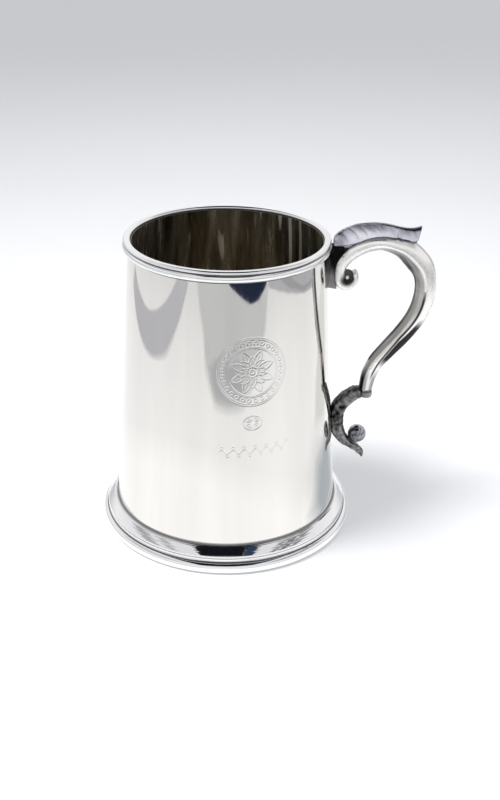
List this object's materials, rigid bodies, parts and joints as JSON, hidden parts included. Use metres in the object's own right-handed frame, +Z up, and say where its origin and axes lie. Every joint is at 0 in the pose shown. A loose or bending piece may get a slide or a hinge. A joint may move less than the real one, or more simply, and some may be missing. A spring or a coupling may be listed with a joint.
{
  "type": "tankard",
  "caption": "Handled pewter tankard: tapered polished barrel, moulded mouth ring, stepped and beaded foot, cast double-scroll handle with leaf thumb rest.",
  "frame": {"origin": "centre of the object's footprint on the table, under the bounding box; the barrel's axis stands 14.75 mm to the -X side of it", "axes": "+Z up along the barrel, +X from the barrel towards the handle's bow, +Y across the handle"},
  "size_m": [0.1334, 0.104, 0.1263],
  "materials": {
    "barrel_polish": "mirror-polished pewter with fine wiping marks; engraved badge",
    "ring_polish": "mirror-polished pewter",
    "base_polish": "spun and polished pewter, slightly dull",
    "foot_polish": "mirror-polished pewter moulding",
    "handle_satin": "cast pewter, hand-polished to a soft sheen",
    "leaf_satin": "cast and chased pewter with dark recesses",
    "cast_tarnish": "cast pewter with tarnish left in the texture",
    "ball_polish": "polished pewter ball"
  },
  "bodies": {
    "root": {"body_barrel": "barrel_polish", "mouth_ring": "ring_polish", "base_disc": "base_polish", "foot_moulding": "foot_polish", "foot_bead": "foot_polish", "handle_grip": "handle_satin", "thumb_leaf": "leaf_satin", "handle_bridge": "cast_tarnish", "scroll_knuckle": "cast_tarnish", "lower_scroll": "cast_tarnish", "scroll_ball": "ball_polish"}
  },
  "joints": []
}
